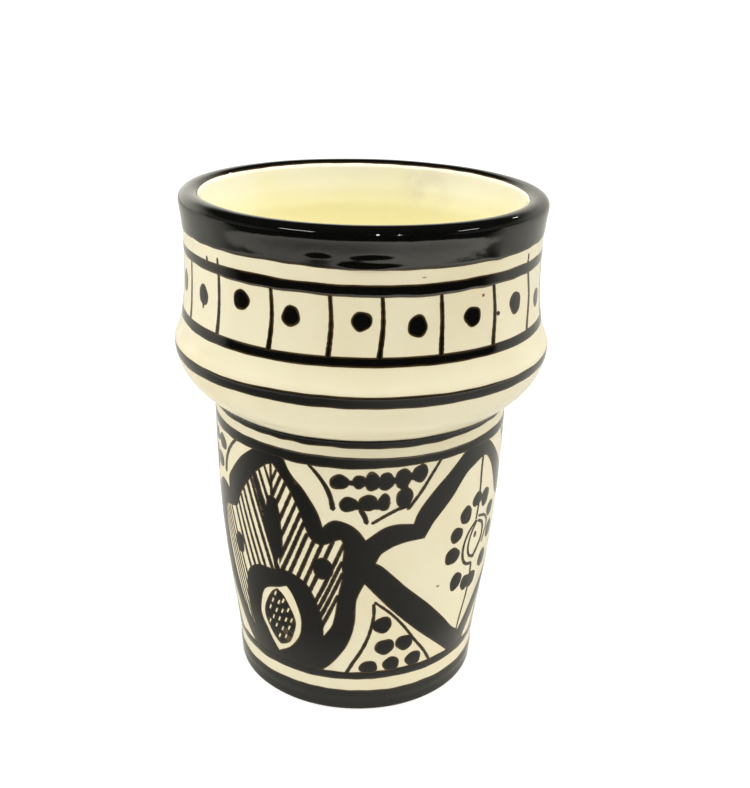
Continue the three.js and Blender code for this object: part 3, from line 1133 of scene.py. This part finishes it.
BLACK = colour(0.0025, 0.0025, 0.002)
BROWN = colour(0.075, 0.046, 0.017)
BROWN_EDGE = 0.48                        # distance from the edge of the paint at which it ends
STREAKS, STREAK_STRAY = 350, 0.35
BLACK_ROUGHNESS = 0.03, 0.05
BLACK_RIPPLES, BLACK_SWELLS, SWELL_SHARE = 120, 38, 4.0
BLACK_BUMP = 0.16, 0.0004


def black_glaze():
    """Black painted under the glaze, brown where the brush left it thin."""
    finish = new_finish("black_glaze")
    depth = finish.node("ShaderNodeAttribute", {"attribute_name": "paint_depth"}, {}, "Fac")
    streaks = finish.noise(STREAKS)
    thin = finish.ramp(depth + STREAK_STRAY * (streaks - 0.5), 0.0, BROWN_EDGE, 1.0, 0.0)
    relief = finish.noise(BLACK_RIPPLES) + SWELL_SHARE * finish.noise(BLACK_SWELLS, 2)
    return finish.coat(finish.mix(thin, BLACK, BROWN), streaks, BLACK_ROUGHNESS, relief, BLACK_BUMP)


SPECKS = [
    # name and colour of the iron, then angle, height, half width in degrees and half height of each speck
    ("rust", colour(0.30, 0.11, 0.02), [(37.2, 100.7, 0.5, 0.35)]),
    ("dark", colour(0.03, 0.018, 0.01), [(43.8, 96.2, 0.7, 0.5)]),
    ("tan", colour(0.34, 0.24, 0.13), [(34.3, 31.7, 0.8, 0.3), (17.3, 105.8, 0.7, 0.12)]),
]
SPECK_ROUGHNESS = 0.1


def iron_speck(name, shade):
    """Spot of iron under the glaze."""
    inputs = {"Base Color": shade, "Roughness": SPECK_ROUGHNESS}
    return new_finish(name).close("ShaderNodeBsdfPrincipled", inputs)


CLAY_BUFF = colour(0.50, 0.31, 0.185)
CLAY_RED = colour(0.40, 0.21, 0.115)
CLAY_SPOTS, CLAY_GRAIN = 90, 1800
SPOT_SHARE, CLAY_GRAIN_SHARE = 0.6, 0.4
CLAY_ROUGHNESS = 0.75, 0.2
CLAY_BUMP = 0.4, 0.0003


def bare_clay():
    """Fired clay: dry, grainy and spotted."""
    finish = new_finish("bare_clay")
    spots = finish.noise(CLAY_SPOTS, 4)
    grain = finish.noise(CLAY_GRAIN)
    shade = finish.mix(SPOT_SHARE * spots + CLAY_GRAIN_SHARE * grain, CLAY_BUFF, CLAY_RED)
    return finish.coat(shade, grain, CLAY_ROUGHNESS, grain, CLAY_BUMP)


# Room, where the light changes between two measures of a direction along an axis
WHITE = colour(1, 1, 1)
UNLIT = colour(0, 0, 0)
REFLECTED_TINT = colour(1.0, 0.975, 0.86)    # warm tone of what the glaze mirrors
ROOM_RISE = 0.2, 0.95                        # from its sides to its top
ROOM_SIDES, ROOM_TOP = 0.63, 3.05
ROOM_WIDTH = -0.9, 0.9
ROOM_LEFT, ROOM_RIGHT = 1.0, 1.08
ROOM_FRONT, ROOM_BACK = (-0.2, -0.7), (0.1, 0.6)
ROOM_FRONT_SHADE, ROOM_BACK_SHADE = 0.95, 0.35
ROOM_REFLECTED, SIDES_REFLECTED, BACK_REFLECTED = 0.008, 0.2, 0.8
WALL_TOPS, SIDE_WALLS, BACK_WALL = (0.6, 0.3), (0.45, 0.9), (0.2, 0.7)
BACK_WALL_WIDTH = -0.4, 0.4
BACK_WALL_LEFT, BACK_WALL_RIGHT = 1.7, 0.95


def light_room():
    """Soft light, most of it from above. The glaze mirrors a dark room with pale walls behind and beside."""
    world = bpy.data.worlds.new("studio")
    bpy.context.scene.world = world
    room = Finish(world)
    way = room.node("ShaderNodeTexCoord", {}, {}, "Generated")
    aside, across, up = (room.along(axis, way) for axis in "XYZ")
    soft = room.ramp(up, *ROOM_RISE, ROOM_SIDES, ROOM_TOP)
    soft = soft * room.ramp(aside, *ROOM_WIDTH, ROOM_LEFT, ROOM_RIGHT)
    shade = ROOM_FRONT_SHADE * room.ramp(across, *ROOM_FRONT)
    shade = shade + ROOM_BACK_SHADE * room.ramp(across, *ROOM_BACK)
    sides = room.ramp(aside * aside, *SIDE_WALLS, 0.0, SIDES_REFLECTED)
    back = room.ramp(across, *BACK_WALL, 0.0, BACK_REFLECTED)
    back = back * room.ramp(aside, *BACK_WALL_WIDTH, BACK_WALL_LEFT, BACK_WALL_RIGHT)
    walls = ROOM_REFLECTED + room.ramp(up, *WALL_TOPS) * (sides + back)
    glossy, seen = room.ray("Glossy"), room.ray("Camera")
    light = soft * (1 - shade) * (1 - glossy) + walls * glossy
    room.close("ShaderNodeBackground", {
        "Color": room.mix(glossy, WHITE, REFLECTED_TINT),
        "Strength": light * (1 - seen) + seen,
    }, "ShaderNodeOutputWorld")


# Floor, with places and distances in metres from the middle of the mug
FLOOR_REACH = 9.0
FLOOR_PALE = colour(0.54, 0.54, 0.53)
FLOOR_BRIGHT = colour(0.78, 0.78, 0.77)      # on the left, where more light falls on it
FLOOR_BRIGHTENS = 0.0, -0.12
# Painted light: the floor is paler close to the foot, lifting the mug's shadow there and the light that the
# floor sends up onto the mug
FLOOR_NEAR = colour(0.95, 0.95, 0.94)        # close to the foot
FLOOR_NEARS = 0.15, 0.06
FLOOR_SEEN = colour(0.24, 0.24, 0.24)        # to the camera, with a glow that lightens the shadow
FLOOR_GLOW = colour(0.80, 0.80, 0.80)
FLOOR_FRONT = 0.1, -0.1
FLOOR_WIDTH = -0.1, 0.12
FLOOR_LEFT, FLOOR_RIGHT, FLOOR_BEHIND = 0.13, 0.40, 0.45     # its brightness in reflections
FLOOR_AT_FOOT, FLOOR_FAR = 0.40, 0.01        # more of it close to the foot, and what is left further off
FLOOR_OPENS = 0.05, 0.032                    # from the open floor to the foot
FLOOR_FURTHER = 0.6                          # more of it again further off in front
FLOOR_MIDDLE, FLOOR_EDGE, FLOOR_END = 0.20, 0.28, 0.305      # where that starts, and where it all ends


def lay_floor():
    """Pale floor, white to the camera, with the mug's shadow. In reflections it ends a little way ahead."""
    near, far = -FLOOR_REACH, FLOOR_REACH
    mesh = bpy.data.meshes.new("floor")
    mesh.from_pydata([(near, near, 0), (far, near, 0), (far, far, 0), (near, far, 0)], [], [(0, 1, 2, 3)])
    finish = new_finish("pale_floor")
    aside, across = finish.along("X"), finish.along("Y")
    away = finish.node("ShaderNodeVectorMath", {"operation": "LENGTH"}, {0: finish.places()}, "Value")
    ahead = finish.ramp(across, *FLOOR_FRONT)
    bright = ahead * finish.ramp(aside, *FLOOR_WIDTH, FLOOR_LEFT, FLOOR_RIGHT) + (1 - ahead) * FLOOR_BEHIND
    bright = bright + finish.ramp(away, *FLOOR_OPENS, 0.0, FLOOR_AT_FOOT)
    bright = bright + ahead * finish.ramp(away, FLOOR_MIDDLE, FLOOR_EDGE, 0.0, FLOOR_FURTHER)
    mirrored = FLOOR_FAR + bright * (1 - ahead * finish.ramp(away, FLOOR_EDGE, FLOOR_END))
    open_floor = finish.mix(finish.ramp(aside, *FLOOR_BRIGHTENS), FLOOR_PALE, FLOOR_BRIGHT)
    # paler close to the foot: painted light over the mug's shadow
    pale = finish.mix(finish.ramp(away, *FLOOR_NEARS), open_floor, FLOOR_NEAR)
    lit = finish.mix(finish.ray("Glossy"), pale, finish.mix(mirrored, UNLIT, REFLECTED_TINT))
    seen = finish.ray("Camera")
    mesh.materials.append(finish.close("ShaderNodeBsdfPrincipled", {
        "Base Color": finish.mix(seen, lit, FLOOR_SEEN),
        "Emission Color": finish.mix(seen, UNLIT, FLOOR_GLOW),
        "Emission Strength": 1.0,
        "Roughness": 1.0,
        "Specular IOR Level": 0.0,
    }))
    floor = add_object("floor", mesh)


# Lamps and camera

def direction(turn, rise):
    """Direction at an angle round the mug and an angle above the horizon."""
    around, above = math.radians(turn), math.radians(rise)
    return Vector((math.sin(around) * math.cos(above), -math.cos(around) * math.cos(above), math.sin(above)))


LAMP_TARGET = Vector((0, 0, 0.09))
LAMP_DISTANCE = 1.3
LAMPS = [
    # angle round the mug, angle above the horizon, width and height in metres, watts
    (9, 33, 0.03, 0.04, 1.0),
    (22, 31, 0.03, 0.04, 1.2),
    (-47, 43, 0.45, 0.08, 2.0),
    (73, 35, 0.3, 0.05, 1.0),
    (137, 35, 0.05, 0.05, 0.2),
]


def hang_lamps():
    """Small lamps round the mug, for the glints on the glaze."""
    for number, (turn, rise, width, height, watts) in enumerate(LAMPS):
        light = bpy.data.lights.new(f"lamp_{number}", "AREA")
        light.shape = "RECTANGLE"
        light.size = width
        light.size_y = height
        light.energy = watts
        lamp = add_object(light.name, light)
        way = direction(turn, rise)
        lamp.location = LAMP_TARGET + way * LAMP_DISTANCE
        lamp.rotation_euler = way.to_track_quat("Z", "Y").to_euler()


CAMERA_PLACE = Vector((0, -0.23814, 0.16179))
CAMERA_PITCH, CAMERA_YAW, CAMERA_ROLL = 21.702, 0.825, -1.370
CAMERA_LENS, CAMERA_SENSOR = 50.17, 36.0
CAMERA_NEAR = 0.01


def set_camera():
    """Camera at the photograph's place, looking down at the mug."""
    forward = -direction(-CAMERA_YAW, CAMERA_PITCH)
    yaw, roll = math.radians(CAMERA_YAW), math.radians(CAMERA_ROLL)
    level = Vector((math.cos(yaw), -math.sin(yaw), 0))
    down = forward.cross(level)
    right = level * math.cos(roll) + down * math.sin(roll)
    up = level * math.sin(roll) - down * math.cos(roll)
    data = bpy.data.cameras.new("camera")
    data.lens = CAMERA_LENS
    data.sensor_width = CAMERA_SENSOR
    data.clip_start = CAMERA_NEAR
    camera = add_object("camera", data)
    turned = Matrix((right, up, -forward)).transposed()
    camera.matrix_world = Matrix.Translation(CAMERA_PLACE) @ turned.to_4x4()
    bpy.context.scene.camera = camera


def build_mug():
    black = black_glaze()
    throw_clay(bare_clay())
    pour_inner_glaze(yellow_glaze())
    pour_outer_glaze(cream_glaze())
    paint_lip(black)
    paint_lines(black)
    paint_collar(black)
    paint_frieze(black)
    for name, shade, specks in SPECKS:
        fire_specks(name + "_specks", specks, iron_speck(name + "_speck", shade))


bpy.context.scene.view_settings.view_transform = "Standard"
set_camera()
light_room()
lay_floor()
hang_lamps()
build_mug()
